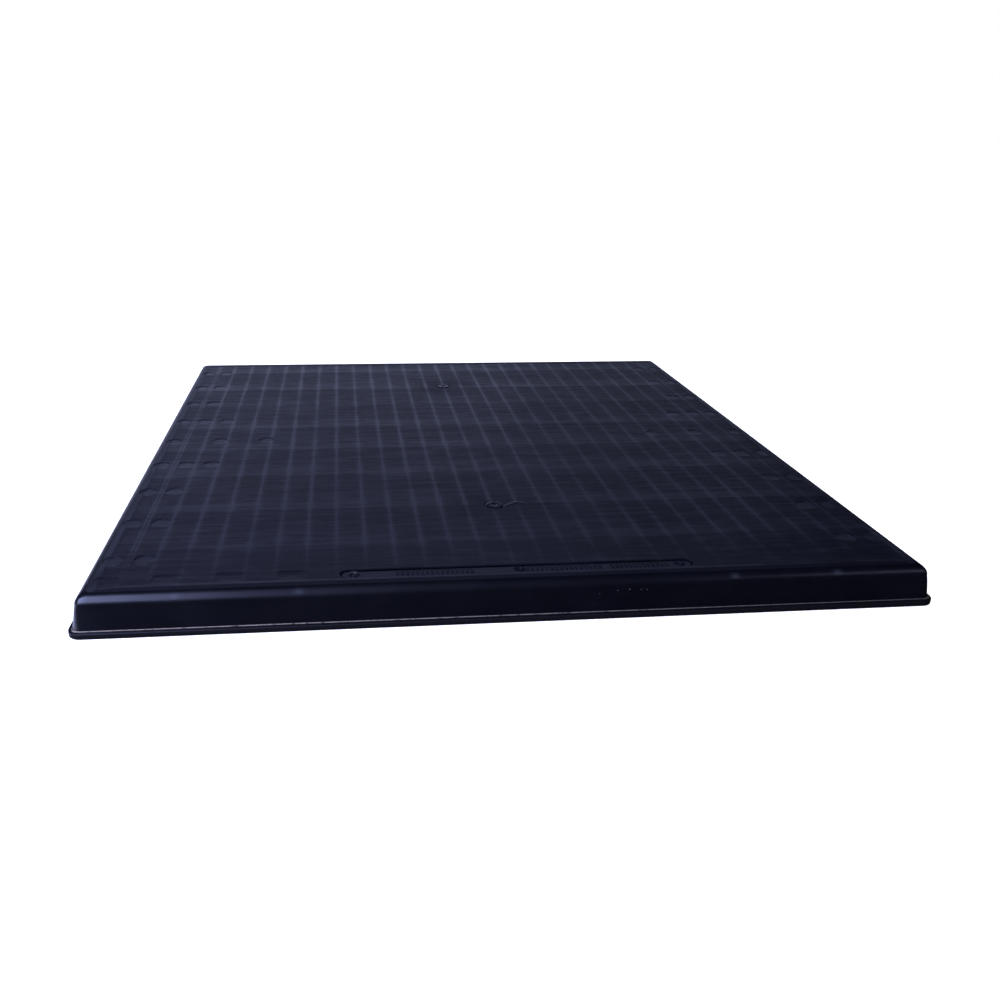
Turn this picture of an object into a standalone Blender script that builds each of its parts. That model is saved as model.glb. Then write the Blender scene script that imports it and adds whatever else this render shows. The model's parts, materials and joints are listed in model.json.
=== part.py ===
"""A square moulded plastic equipment pad: flat deck, bent-over skirt, ground flange and ribs below.

Units are metres and +Z is up. The origin is the middle of the ground plane. The name strip is on
the -Y side. The pad is one moulding in life; here each zone of it is a solid of its own.
"""

import math

import bmesh
import bpy
from mathutils import Matrix

# Driving dimensions
OVERALL_WIDTH = 0.9144
TOTAL_HEIGHT = 0.043
RIB_PITCH = 0.03175
WALL_THICKNESS = 0.0035
GAP = 0.0003  # between neighbouring solids

# Ground flange
FLANGE_REACH = 0.0045
FLANGE_THICKNESS = 0.0065
FLANGE_CORNER_RADIUS = 0.014
FLANGE_EDGE_CHAMFER = 0.0008
SMALLEST_CORNER_RADIUS = 0.006
CORNER_STEPS = 4

# Skirt
SKIRT_LEAN = 0.0045
BEND_RADIUS = 0.0105
BEND_STEPS = 5
BEAD_WIDTH = 0.0009
BEAD_HEIGHT = 0.0008

# Ribs, whose cells are a little shorter than they are wide and sit a little forward of even
CROSS_RIB_PITCH = 0.0282
CROSS_RIBS_FORWARD = 0.0044
LONG_RIBS = range(-13, 14)
FRONT_CROSS_RIBS = range(-14, 0)
REAR_CROSS_RIBS = range(0, 15)
RIB_THICKNESS = 0.002

# Round recesses near the left and right edges, in rows that sit a little to the rear of even
RECESS_ROWS = range(-4, 5)
RECESS_ROW_PITCH = 0.0932
RECESS_REARWARD = 0.0019
RECESS_RADIUS = 0.0110
RECESS_DEPTH = 0.0012
RECESS_SIDES = 16
OUTER_COLUMN = 0.4260
SECOND_COLUMN = 0.3935
THIRD_COLUMN = 0.360
INNER_COLUMN = 0.2925

# Name strip in its round-ended pocket
STRIP_X = 0.0026
STRIP_Y = -0.4176
POCKET_LENGTH = 0.379
POCKET_WIDTH = 0.0170
POCKET_DEPTH = 0.0022
STRIP_THICKNESS = 0.0008
STUD_SPACING = 0.175
STUD_RADIUS = 0.0062
STUD_HEIGHT = 0.0011
STUD_HOLE_RADIUS = 0.0030
STUD_HOLE_DEPTH = 0.0007
ROUND_SIDES = 24

# Stubs left by the two moulding gates
GATE_FRONT = (0.0039, -0.2511)
GATE_REAR = (-0.0006, 0.2745)
GATE_WELL_RADIUS = 0.012
GATE_WELL_DEPTH = 0.0012
GATE_STUB_RADIUS = 0.0105
GATE_STUB_HEIGHT = 0.0008

# Distances from the centre, from the ground flange inwards
FLANGE_HALF = OVERALL_WIDTH / 2
FOOT_HALF = FLANGE_HALF - FLANGE_REACH
SHOULDER_HALF = FOOT_HALF - SKIRT_LEAN
FIELD_HALF = SHOULDER_HALF - BEND_RADIUS
DECK_UNDERSIDE = TOTAL_HEIGHT - WALL_THICKNESS

# Tool clearance: how far a cutter reaches past the face that it cuts
CUTTER_OVERLAP = 0.002
MERGE_DISTANCE = 0.00001


def clear_scene():
    for scene_object in list(bpy.data.objects):
        bpy.data.objects.remove(scene_object)


def make_collection(name, hidden=False):
    collection = bpy.data.collections.new(name)
    bpy.context.scene.collection.children.link(collection)
    collection.hide_render = hidden
    return collection


def plastic(name, colour, roughness):
    material = bpy.data.materials.new(name)
    material.use_nodes = True
    shader = material.node_tree.nodes["Principled BSDF"]
    shader.inputs["Base Color"].default_value = (*colour, 1.0)
    shader.inputs["Roughness"].default_value = roughness
    shader.inputs["Metallic"].default_value = 0.0
    return material


def add_part(name, mesh, material):
    """Turns the bmesh into a named object in the pad's collection."""
    bmesh.ops.recalc_face_normals(mesh, faces=mesh.faces)
    data = bpy.data.meshes.new(name)
    mesh.to_mesh(data)
    mesh.free()
    data.materials.append(material)
    part = bpy.data.objects.new(name, data)
    pad_collection.objects.link(part)
    return part


def add_cutter(name, mesh):
    cutter = add_part(name, mesh, deck_plastic)
    pad_collection.objects.unlink(cutter)
    cutter_collection.objects.link(cutter)
    cutter.hide_render = True
    cutter.display_type = "WIRE"
    return cutter


def add_boolean(part, cutter, operation):
    modifier = part.modifiers.new(cutter.name, "BOOLEAN")
    modifier.operation = operation
    modifier.solver = "EXACT"
    modifier.object = cutter


def corner_radius(half):
    """Plan radius of the square's corners at this distance from the centre."""
    return max(SMALLEST_CORNER_RADIUS, FLANGE_CORNER_RADIUS - (FLANGE_HALF - half))


def rounded_square(half, height):
    """Points round one level of the pad, a square with round corners."""
    radius = corner_radius(half)
    arc_centre = half - radius
    points = []
    for quarter in range(4):
        turn = Matrix.Rotation(quarter * math.pi / 2, 3, "Z")
        for step in range(CORNER_STEPS + 1):
            angle = step / CORNER_STEPS * math.pi / 2
            x = arc_centre + radius * math.cos(angle)
            y = arc_centre + radius * math.sin(angle)
            points.append(turn @ Matrix.Translation((x, y, height)).to_translation())
    return points


def join_levels(mesh, lower, upper):
    """One band of quads between two levels, whose corner radii may differ."""
    count = len(lower)
    for index in range(count):
        following = (index + 1) % count
        mesh.faces.new((lower[index], lower[following], upper[following], upper[index]))


def square_levels(mesh, outline):
    return [[mesh.verts.new(point) for point in rounded_square(*level)] for level in outline]


def square_ring(section):
    """A closed cross-section of (distance from centre, height) points, run round the square."""
    mesh = bmesh.new()
    levels = square_levels(mesh, section)
    for lower, upper in zip(levels, levels[1:] + levels[:1]):
        join_levels(mesh, lower, upper)
    return mesh


def square_block(outline):
    """A closed block through (distance from centre, height) levels, bottom to top."""
    mesh = bmesh.new()
    levels = square_levels(mesh, outline)
    for lower, upper in zip(levels, levels[1:]):
        join_levels(mesh, lower, upper)
    mesh.faces.new(levels[0])
    mesh.faces.new(levels[-1])
    return mesh


def bend_arc(radius):
    """The bend from the skirt to the deck, from its outer end to its upper end."""
    arc = []
    for step in range(BEND_STEPS + 1):
        angle = step / BEND_STEPS * math.pi / 2
        half = FIELD_HALF + radius * math.cos(angle)
        height = TOTAL_HEIGHT - BEND_RADIUS + radius * math.sin(angle)
        arc.append((half, height))
    return arc


def add_cylinder(mesh, x, y, top, radius, depth, sides):
    bmesh.ops.create_cone(
        mesh,
        cap_ends=True,
        segments=sides,
        radius1=radius,
        radius2=radius,
        depth=depth,
        matrix=Matrix.Translation((x, y, top - depth / 2)),
    )


def round_ended_bar(length, width, bottom, top):
    """A cylinder pulled apart along X, so that its halves become the round ends of a bar."""
    mesh = bmesh.new()
    half_step = Matrix.Rotation(math.pi / ROUND_SIDES, 4, "Z")
    place = Matrix.Translation((0, 0, (bottom + top) / 2))
    bmesh.ops.create_cone(
        mesh,
        cap_ends=True,
        segments=ROUND_SIDES,
        radius1=width / 2,
        radius2=width / 2,
        depth=top - bottom,
        matrix=place @ half_step,
    )
    for vertex in mesh.verts:
        vertex.co.x += STRIP_X + math.copysign((length - width) / 2, vertex.co.x)
        vertex.co.y += STRIP_Y
    return mesh


def turned_part(name, profile, x, y, material):
    """A turned piece: (radius, height) points from the top of the axis down the outside."""
    data = bpy.data.meshes.new(name)
    points = [(radius, 0, height) for radius, height in profile]
    edges = [(index, index + 1) for index in range(len(points) - 1)]
    data.from_pydata(points, edges, [])
    data.materials.append(material)
    part = bpy.data.objects.new(name, data)
    part.location = (x, y, 0)
    pad_collection.objects.link(part)
    screw = part.modifiers.new("Turn", "SCREW")
    screw.steps = ROUND_SIDES
    screw.render_steps = ROUND_SIDES
    screw.use_merge_vertices = True
    screw.merge_threshold = MERGE_DISTANCE
    screw.use_smooth_shade = True
    return part


def recess_columns(row):
    """How far out the recesses of one row sit. The row over the middle is laid out differently."""
    if row == 0:
        return (OUTER_COLUMN, THIRD_COLUMN, INNER_COLUMN)
    if abs(row) == 1:
        return (OUTER_COLUMN, SECOND_COLUMN, THIRD_COLUMN)
    return (OUTER_COLUMN, SECOND_COLUMN)


def make_recess_cutter():
    mesh = bmesh.new()
    depth = RECESS_DEPTH + CUTTER_OVERLAP
    for row in RECESS_ROWS:
        y = row * RECESS_ROW_PITCH + RECESS_REARWARD
        for column in recess_columns(row):
            for x in (-column, column):
                top = TOTAL_HEIGHT + CUTTER_OVERLAP
                add_cylinder(mesh, x, y, top, RECESS_RADIUS, depth, RECESS_SIDES)
    for x, y in (GATE_FRONT, GATE_REAR):
        depth = GATE_WELL_DEPTH + CUTTER_OVERLAP
        top = TOTAL_HEIGHT + CUTTER_OVERLAP
        add_cylinder(mesh, x, y, top, GATE_WELL_RADIUS, depth, ROUND_SIDES)
    return add_cutter("recess_cutter", mesh)


def make_pocket_cutter():
    bottom = TOTAL_HEIGHT - POCKET_DEPTH
    top = TOTAL_HEIGHT + CUTTER_OVERLAP
    return add_cutter("pocket_cutter", round_ended_bar(POCKET_LENGTH, POCKET_WIDTH, bottom, top))


def make_deck_panel():
    edge = FIELD_HALF - GAP / 2
    mesh = square_block([(edge, DECK_UNDERSIDE), (edge, TOTAL_HEIGHT)])
    panel = add_part("deck_panel", mesh, deck_plastic)
    add_boolean(panel, make_recess_cutter(), "DIFFERENCE")
    add_boolean(panel, make_pocket_cutter(), "DIFFERENCE")


def make_rim_skirt():
    """The leaning wall and the bend that joins it to the deck."""
    foot = FLANGE_THICKNESS + GAP
    inner_bend = bend_arc(BEND_RADIUS - WALL_THICKNESS)
    inner_bend[-1] = (FIELD_HALF + GAP / 2, DECK_UNDERSIDE)
    outer_bend = bend_arc(BEND_RADIUS)
    outer_bend[-1] = (FIELD_HALF + GAP / 2, TOTAL_HEIGHT)
    section = [(FOOT_HALF, foot), *outer_bend, *reversed(inner_bend), (FOOT_HALF - WALL_THICKNESS, foot)]
    skirt = add_part("rim_skirt", square_ring(section), skirt_plastic)
    skirt.data.shade_smooth()
    skirt.data.set_sharp_from_angle(angle=math.radians(40))


def make_base_flange():
    inner = FOOT_HALF - WALL_THICKNESS
    chamfer = FLANGE_EDGE_CHAMFER
    section = [
        (inner, 0),
        (FLANGE_HALF - chamfer, 0),
        (FLANGE_HALF, chamfer),
        (FLANGE_HALF, FLANGE_THICKNESS - chamfer),
        (FLANGE_HALF - chamfer, FLANGE_THICKNESS),
        (inner, FLANGE_THICKNESS),
    ]
    add_part("base_flange", square_ring(section), skirt_plastic)


def make_foot_bead():
    """The thin pale bead in the corner between the skirt and the flange."""
    inner = FOOT_HALF + GAP
    bottom = FLANGE_THICKNESS + GAP
    section = [
        (inner, bottom),
        (inner + BEAD_WIDTH, bottom),
        (inner + BEAD_WIDTH / 2, bottom + BEAD_HEIGHT),
        (inner, bottom + BEAD_HEIGHT),
    ]
    add_part("foot_bead", square_ring(section), bead_plastic)


def make_cavity_block():
    """The hollow under the deck, less the gap that the ribs keep to it."""
    radius = BEND_RADIUS - WALL_THICKNESS - GAP
    foot_half = FOOT_HALF - WALL_THICKNESS - GAP
    outline = [(foot_half, -CUTTER_OVERLAP), *bend_arc(radius)]
    return add_cutter("cavity_block", square_block(outline))


def rib_edges(middles, low, high):
    """Both edges of each rib in order, between the two ends of the grid."""
    edges = [low]
    for middle in middles:
        edges.append(middle - RIB_THICKNESS / 2)
        edges.append(middle + RIB_THICKNESS / 2)
    return [*edges, high]


def make_rib_grid(name, cross_ribs, low, high, cavity_block):
    """A flat grid stretched so that every second strip is a rib, cleared of its cells and raised."""
    x_middles = [index * RIB_PITCH for index in LONG_RIBS]
    y_middles = [index * CROSS_RIB_PITCH - CROSS_RIBS_FORWARD for index in cross_ribs]
    x_edges = rib_edges(x_middles, -FLANGE_HALF, FLANGE_HALF)
    y_edges = rib_edges(y_middles, low, high)
    x_strips = len(x_edges) - 1
    y_strips = len(y_edges) - 1
    mesh = bmesh.new()
    bmesh.ops.create_grid(mesh, x_segments=x_strips, y_segments=y_strips, size=1)
    cells = []
    for face in mesh.faces:
        middle = face.calc_center_median()
        column = int((middle.x + 1) / 2 * x_strips)
        row = int((middle.y + 1) / 2 * y_strips)
        if column % 2 == 0 and row % 2 == 0:
            cells.append(face)
    for vertex in mesh.verts:
        column = round((vertex.co.x + 1) / 2 * x_strips)
        row = round((vertex.co.y + 1) / 2 * y_strips)
        vertex.co = (x_edges[column], y_edges[row], 0)
    bmesh.ops.delete(mesh, geom=cells, context="FACES")
    raised = bmesh.ops.extrude_face_region(mesh, geom=mesh.faces[:])["geom"]
    raised_vertices = [item for item in raised if isinstance(item, bmesh.types.BMVert)]
    bmesh.ops.translate(mesh, verts=raised_vertices, vec=(0, 0, TOTAL_HEIGHT))
    grid = add_part(name, mesh, skirt_plastic)
    add_boolean(grid, cavity_block, "INTERSECT")


def make_rib_grids():
    """The grid in two halves, parted in the middle of a row of cells."""
    cavity_block = make_cavity_block()
    split = -CROSS_RIB_PITCH / 2 - CROSS_RIBS_FORWARD
    make_rib_grid("rib_grid_front", FRONT_CROSS_RIBS, -FLANGE_HALF, split - GAP / 2, cavity_block)
    make_rib_grid("rib_grid_rear", REAR_CROSS_RIBS, split + GAP / 2, FLANGE_HALF, cavity_block)


def make_name_strip():
    """A blank strip in the pocket, where a maker would put a name."""
    bottom = TOTAL_HEIGHT - POCKET_DEPTH + GAP
    length = POCKET_LENGTH - 2 * GAP
    width = POCKET_WIDTH - 2 * GAP
    bar = round_ended_bar(length, width, bottom, bottom + STRIP_THICKNESS)
    strip = add_part("name_strip", bar, deck_plastic)
    holes = bmesh.new()
    for index in (-1, 0, 1):
        x = STRIP_X + index * STUD_SPACING
        top = TOTAL_HEIGHT + CUTTER_OVERLAP
        depth = POCKET_DEPTH + 2 * CUTTER_OVERLAP
        add_cylinder(holes, x, STRIP_Y, top, STUD_RADIUS + GAP, depth, ROUND_SIDES)
    add_boolean(strip, add_cutter("stud_hole_cutter", holes), "DIFFERENCE")


def make_strip_studs():
    bottom = TOTAL_HEIGHT - POCKET_DEPTH + GAP
    top = bottom + STUD_HEIGHT
    floor = top - STUD_HOLE_DEPTH
    edge = STUD_HOLE_DEPTH / 2
    profile = [
        (0, floor),
        (STUD_HOLE_RADIUS - edge, floor),
        (STUD_HOLE_RADIUS, top),
        (STUD_RADIUS - edge, top),
        (STUD_RADIUS, top - edge),
        (STUD_RADIUS, bottom),
        (0, bottom),
    ]
    for index, side in ((-1, "left"), (0, "centre"), (1, "right")):
        x = STRIP_X + index * STUD_SPACING
        turned_part(f"strip_stud_{side}", profile, x, STRIP_Y, deck_plastic)


def make_gate_stubs():
    bottom = TOTAL_HEIGHT - GATE_WELL_DEPTH + GAP
    top = bottom + GATE_STUB_HEIGHT
    profile = [
        (0, bottom + GATE_STUB_HEIGHT / 2),
        (GATE_STUB_RADIUS / 4, top),
        (GATE_STUB_RADIUS * 3 / 4, top),
        (GATE_STUB_RADIUS, bottom + GATE_STUB_HEIGHT / 2),
        (GATE_STUB_RADIUS, bottom),
        (0, bottom),
    ]
    for (x, y), side in ((GATE_FRONT, "front"), (GATE_REAR, "rear")):
        turned_part(f"gate_stub_{side}", profile, x, y, deck_plastic)


clear_scene()
pad_collection = make_collection("equipment_pad")
cutter_collection = make_collection("cutters", hidden=True)
deck_plastic = plastic("deck_plastic", (0.022, 0.022, 0.036), 0.5)
skirt_plastic = plastic("skirt_plastic", (0.010, 0.011, 0.018), 0.35)
bead_plastic = plastic("bead_plastic", (0.20, 0.18, 0.16), 0.6)
make_deck_panel()
make_rim_skirt()
make_base_flange()
make_foot_bead()
make_rib_grids()
make_name_strip()
make_strip_studs()
make_gate_stubs()
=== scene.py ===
"""Looks of the square moulded equipment pad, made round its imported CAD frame.

Metres, +Z up. The origin is in the middle of the ground plane and the name strip is on the -Y side.
"""

import json
import math

import bmesh
import bpy
import numpy as np
from mathutils import Matrix, Vector, noise

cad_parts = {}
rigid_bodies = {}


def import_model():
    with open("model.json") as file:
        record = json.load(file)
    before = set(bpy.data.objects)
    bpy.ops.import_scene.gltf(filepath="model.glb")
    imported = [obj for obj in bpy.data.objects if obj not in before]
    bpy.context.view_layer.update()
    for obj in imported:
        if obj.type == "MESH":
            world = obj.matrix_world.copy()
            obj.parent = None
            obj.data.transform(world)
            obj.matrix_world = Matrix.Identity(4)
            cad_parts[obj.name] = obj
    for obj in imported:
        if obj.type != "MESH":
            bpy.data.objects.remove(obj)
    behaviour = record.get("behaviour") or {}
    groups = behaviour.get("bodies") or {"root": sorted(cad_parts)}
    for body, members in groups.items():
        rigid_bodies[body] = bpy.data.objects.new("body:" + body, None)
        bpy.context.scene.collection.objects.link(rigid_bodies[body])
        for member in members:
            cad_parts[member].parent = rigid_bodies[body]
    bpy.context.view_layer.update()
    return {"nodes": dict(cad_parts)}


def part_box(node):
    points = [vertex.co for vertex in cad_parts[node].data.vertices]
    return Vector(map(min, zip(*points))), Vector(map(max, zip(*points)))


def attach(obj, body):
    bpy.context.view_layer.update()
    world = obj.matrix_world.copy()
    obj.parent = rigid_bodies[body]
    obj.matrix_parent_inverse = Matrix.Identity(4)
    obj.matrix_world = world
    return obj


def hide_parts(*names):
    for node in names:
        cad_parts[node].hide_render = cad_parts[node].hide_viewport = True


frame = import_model()

# Sizes of the frame
DECK_LOW, DECK_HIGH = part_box("deck_panel")
SKIRT_LOW, SKIRT_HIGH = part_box("rim_skirt")
FLANGE_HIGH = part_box("base_flange")[1]
STRIP_LOW, STRIP_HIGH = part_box("name_strip")
TOP = DECK_HIGH.z
UNDERSIDE = DECK_LOW.z
FIELD_HALF = DECK_HIGH.x
FOOT_HALF = SKIRT_HIGH.x
FLANGE_HALF = FLANGE_HIGH.x
FLANGE_TOP = FLANGE_HIGH.z
WALL_FOOT = SKIRT_LOW.z
WALL_MIDDLE = (TOP + WALL_FOOT) / 2
WALL_THICKNESS = TOP - UNDERSIDE
BEND_RADIUS = 0.0105
FLANGE_CORNER_RADIUS = 0.014
SMALLEST_CORNER_RADIUS = 0.006

# Ribs under the deck, whose lines sink marks show on its top
RIB_PITCH = 0.03175
CROSS_RIB_PITCH = 0.0282
CROSS_RIBS_FORWARD = 0.0044
SINK_WIDTH = 0.0050
SINK_DEPTH = 0.00006
CROSS_SINK_SHARE = 0.7
LINE_TAIL = 0.010  # how far the sheen of a rib line reaches to each side

# Broad bands of sheen across the deck: place, strength
BANDS = (
    (-0.345, 0.75),
    (-0.245, 1.0),
    (-0.134, 1.0),
    (-0.034, 0.9),
    (0.062, 0.9),
    (0.174, 0.5),
    (0.268, 1.0),
    (0.381, 1.0),
)
BAND_FRONT = 0.009
BAND_REAR = 0.075

# Thin lines near the sides, where the outermost ribs stop, and a seam near the middle
LINES_END = 0.400
SIDE_LINES = (-0.4115, -0.4072, 0.4080)
SIDE_LINE_WIDTH = 0.0022
SEAM = 0.1280
SEAM_WIDTH = 0.0014
FRONT_LINE = -0.4045  # the rib lines fade in front of it
FRONT_LINE_WIDTH = 0.0012
FADE_REAR = -0.29
FINE_LINE_WIDTH = 0.0025

# How much each thing adds to the deck's sheen
SIDE_LINE_SHEEN = 0.8
SEAM_SHEEN = 0.5
BAND_SHEEN = 0.48
FINE_SHEEN = 0.42
FRONT_LINE_SHEEN = 0.45
STREAK_SHEEN = 0.34
RECESS_SHEEN = 0.60
MOST_SHEEN = 1.1

# The deck's field, inside the ridge along its rim
RIDGE_HALF = 0.4305
RIDGE_WIDTH = 0.0020
RIDGE_CORNER_RADIUS = 0.010
FIELD_DEPTH = 0.00024
EDGE_DROP = 0.00040
UNEVENNESS = 0.00018
UNEVEN_SIZE = 0.07

# Bulges in the front bend
BULGES = (-0.350, -0.228, 0.229, 0.343)
BULGE_WIDTH = 0.008

# Round recesses
RECESS_ROWS = range(-4, 5)
RECESS_ROW_PITCH = 0.0932
RECESS_REARWARD = 0.0019
RECESS_RADIUS = 0.0107
RECESS_WALL = 0.00050
RECESS_BOWL = 0.00010
OUTER_COLUMN = 0.4260
SECOND_COLUMN = 0.3935
THIRD_COLUMN = 0.360
INNER_COLUMN = 0.2925

# The part of the name strip without painted shade lies this much in front of its middle
PAINTED_SHADE_FORWARD = 0.0012

# Moulding gates
GATE_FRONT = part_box("gate_stub_front")
GATE_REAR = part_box("gate_stub_rear")
GATE_DISH_DEPTH = 0.0002
GATE_DISH_RADIUS = 0.030
GATE_HALO_INNER = 0.012
GATE_HALO_OUTER = 0.060
GATE_HALO_SHEEN = 0.50


def centre_of(box):
    low, high = box
    return (low + high) / 2


STRIP_CENTRE = centre_of((STRIP_LOW, STRIP_HIGH))


def rounded_level(x, y, half, radius):
    """How far out a point is, as the half width of the round-cornered square that it lies on."""
    inner = half - radius
    outside_x = np.maximum(np.abs(x) - inner, 0)
    outside_y = np.maximum(np.abs(y) - inner, 0)
    outside = inner + np.hypot(outside_x, outside_y)
    inside = np.maximum(np.abs(x), np.abs(y))
    return np.where(inside > inner, outside, inside)


def line_distance(position, pitch):
    """How far each position is from the nearest line of a pitch."""
    return np.abs((position / pitch + 0.5) % 1 - 0.5) * pitch


def bump_curve(distance, width):
    """1 at no distance, falling smoothly to 0 over about twice the width."""
    return np.exp(-((distance / width) ** 2))


def smooth_noise(x, y, size, seed):
    """Soft noise from -1 to 1 over the deck, with features about as large as size."""
    values = [noise.noise(Vector((a / size, b / size, seed))) for a, b in zip(x, y)]
    return np.array(values)


def deck_depth(x, y):
    """How deep the deck's top lies below the highest plane at each point."""
    level = rounded_level(x, y, RIDGE_HALF, RIDGE_CORNER_RADIUS)
    ridge = bump_curve(level - RIDGE_HALF, RIDGE_WIDTH)
    inside = 1 / (1 + np.exp((level - RIDGE_HALF) / (RIDGE_WIDTH / 4)))
    sinks = bump_curve(line_distance(x, RIB_PITCH), SINK_WIDTH / 2)
    cross_distance = line_distance(y + CROSS_RIBS_FORWARD, CROSS_RIB_PITCH)
    sinks = np.maximum(sinks, CROSS_SINK_SHARE * bump_curve(cross_distance, SINK_WIDTH / 2))
    uneven = UNEVENNESS * (0.5 + 0.5 * smooth_noise(x, y, UNEVEN_SIZE, 3.1))
    field = FIELD_DEPTH + SINK_DEPTH * sinks + uneven
    for gate in (GATE_FRONT, GATE_REAR):
        centre = centre_of(gate)
        field += GATE_DISH_DEPTH * bump_curve(np.hypot(x - centre.x, y - centre.y), GATE_DISH_RADIUS)
    rim = np.clip((level - RIDGE_HALF) / (FIELD_HALF - RIDGE_HALF), 0, 1)
    shoulder = EDGE_DROP * rim * rim * (3 - 2 * rim)
    return inside * (1 - ridge) * field + (1 - inside) * shoulder


def add_piece(name, data, slot, *replaced):
    """Adds a mesh as a piece of the pad that rides with it and stands for the CAD nodes named."""
    piece = bpy.data.objects.new(name, data)
    bpy.context.scene.collection.objects.link(piece)
    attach(piece, "root")
    if replaced:
        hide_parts(*replaced)
    return piece


def mesh_data(name, mesh, material, sharp_angle=35):
    """Turns a bmesh into smooth mesh data with its normals facing out."""
    bmesh.ops.recalc_face_normals(mesh, faces=mesh.faces)
    data = bpy.data.meshes.new(name)
    mesh.to_mesh(data)
    mesh.free()
    data.materials.append(material)
    data.shade_smooth()
    data.set_sharp_from_angle(angle=math.radians(sharp_angle))
    return data


def applied(host, cutter, operation):
    """The host's mesh after a Boolean with the cutter. Both helper objects are removed."""
    scene_objects = bpy.context.scene.collection.objects
    helpers = [bpy.data.objects.new("boolean_host", host), bpy.data.objects.new("boolean_cutter", cutter)]
    for helper in helpers:
        scene_objects.link(helper)
    modifier = helpers[0].modifiers.new("cut", "BOOLEAN")
    modifier.operation = operation
    modifier.solver = "MANIFOLD"
    modifier.object = helpers[1]
    graph = bpy.context.evaluated_depsgraph_get()
    result = bpy.data.meshes.new_from_object(helpers[0].evaluated_get(graph))
    for helper in helpers:
        bpy.data.objects.remove(helper)
    return result


# ---------------------------------------------------------------- materials


class Finish:
    """A Principled material, with short calls that add nodes to it."""

    def __init__(self, name, roughness, specular):
        self.material = bpy.data.materials.new(name)
        self.material.use_nodes = True
        self.tree = self.material.node_tree
        self.shader = self.tree.nodes["Principled BSDF"]
        self.shader.inputs["Roughness"].default_value = roughness
        self.shader.inputs["Specular IOR Level"].default_value = specular
        place = self.tree.nodes.new("ShaderNodeTexCoord")
        self.place = place.outputs["Object"]
        axes = self.tree.nodes.new("ShaderNodeSeparateXYZ")
        self.tree.links.new(self.place, axes.inputs[0])
        self.x, self.y, self.z = axes.outputs

    def feed(self, socket, value):
        """Links a node's output to the socket, or sets it to a plain value."""
        if isinstance(value, bpy.types.NodeSocket):
            self.tree.links.new(value, socket)
        else:
            socket.default_value = value

    def math(self, operation, *values, clamp=False):
        node = self.tree.nodes.new("ShaderNodeMath")
        node.operation = operation
        node.use_clamp = clamp
        for socket, value in zip(node.inputs, values):
            self.feed(socket, value)
        return node.outputs[0]

    def plus(self, first, second):
        return self.math("ADD", first, second)

    def minus(self, first, second):
        return self.math("SUBTRACT", first, second)

    def times(self, first, second):
        return self.math("MULTIPLY", first, second)

    def either_side(self, value):
        """The value without its sign."""
        return self.math("ABSOLUTE", value)

    def distance(self, across, along):
        squares = self.plus(self.math("POWER", across, 2), self.math("POWER", along, 2))
        return self.math("SQRT", squares)

    def spread(self, value, low, high, to_low=0.0, to_high=1.0):
        """The value eased from one range onto another, and held at the ends."""
        node = self.tree.nodes.new("ShaderNodeMapRange")
        node.interpolation_type = "SMOOTHSTEP"
        names = ("Value", "From Min", "From Max", "To Min", "To Max")
        for name, given in zip(names, (value, low, high, to_low, to_high)):
            self.feed(node.inputs[name], given)
        return node.outputs[0]

    def noise(self, size, detail=3.0, roughness=0.5, stretch=(1, 1, 1)):
        """Noise from 0 to 1 with features of this size in metres, stretched along the axes."""
        place = self.tree.nodes.new("ShaderNodeMapping")
        place.inputs["Scale"].default_value = [1 / (size * factor) for factor in stretch]
        self.tree.links.new(self.place, place.inputs["Vector"])
        node = self.tree.nodes.new("ShaderNodeTexNoise")
        node.inputs["Scale"].default_value = 1.0
        node.inputs["Detail"].default_value = detail
        node.inputs["Roughness"].default_value = roughness
        self.tree.links.new(place.outputs[0], node.inputs["Vector"])
        return node.outputs["Fac"]

    def blend(self, factor, first, second):
        node = self.tree.nodes.new("ShaderNodeMix")
        node.data_type = "RGBA"
        self.feed(node.inputs["Factor"], factor)
        sockets = [socket for socket in node.inputs if socket.type == "RGBA"]
        for socket, value in zip(sockets, (first, second)):
            self.feed(socket, value if isinstance(value, bpy.types.NodeSocket) else (*value, 1))
        return next(socket for socket in node.outputs if socket.type == "RGBA")

    def line(self, position, pitch, width):
        """1 along each line of a pitch and 0 a width away from it."""
        distance = self.math("PINGPONG", position, pitch / 2)
        return self.spread(distance, 0, width, 1, 0)

    def fall(self, distance, width, power):
        """1 at no distance and 0 a width away, falling fast at first."""
        near = self.math("SUBTRACT", 1, self.math("DIVIDE", distance, width), clamp=True)
        return self.math("POWER", near, power)

    def cusp(self, position, pitch, width):
        """Like line, but sharp at the middle with long tails."""
        return self.fall(self.math("PINGPONG", position, pitch / 2), width, 4)

    def line_at(self, position, place, width):
        """1 at one place and 0 a width away from it."""
        distance = self.either_side(self.minus(position, place))
        return self.spread(distance, 0, width, 1, 0)

    def colour(self, value):
        self.feed(self.shader.inputs["Base Color"], value)

    def roughness(self, value):
        self.feed(self.shader.inputs["Roughness"], value)

    def specular(self, value):
        self.feed(self.shader.inputs["Specular IOR Level"], value)

    def glow(self, colour, strength):
        self.shader.inputs["Emission Color"].default_value = (*colour, 1)
        self.shader.inputs["Emission Strength"].default_value = strength

    def bump(self, *heights):
        """Chains (height, depth in metres) pairs into the shader's normal."""
        normal = None
        for height, depth in heights:
            node = self.tree.nodes.new("ShaderNodeBump")
            node.inputs["Strength"].default_value = 1.0
            node.inputs["Distance"].default_value = depth
            self.tree.links.new(height, node.inputs["Height"])
            if normal:
                self.tree.links.new(normal, node.inputs["Normal"])
            normal = node.outputs[0]
        self.tree.links.new(normal, self.shader.inputs["Normal"])


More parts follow.
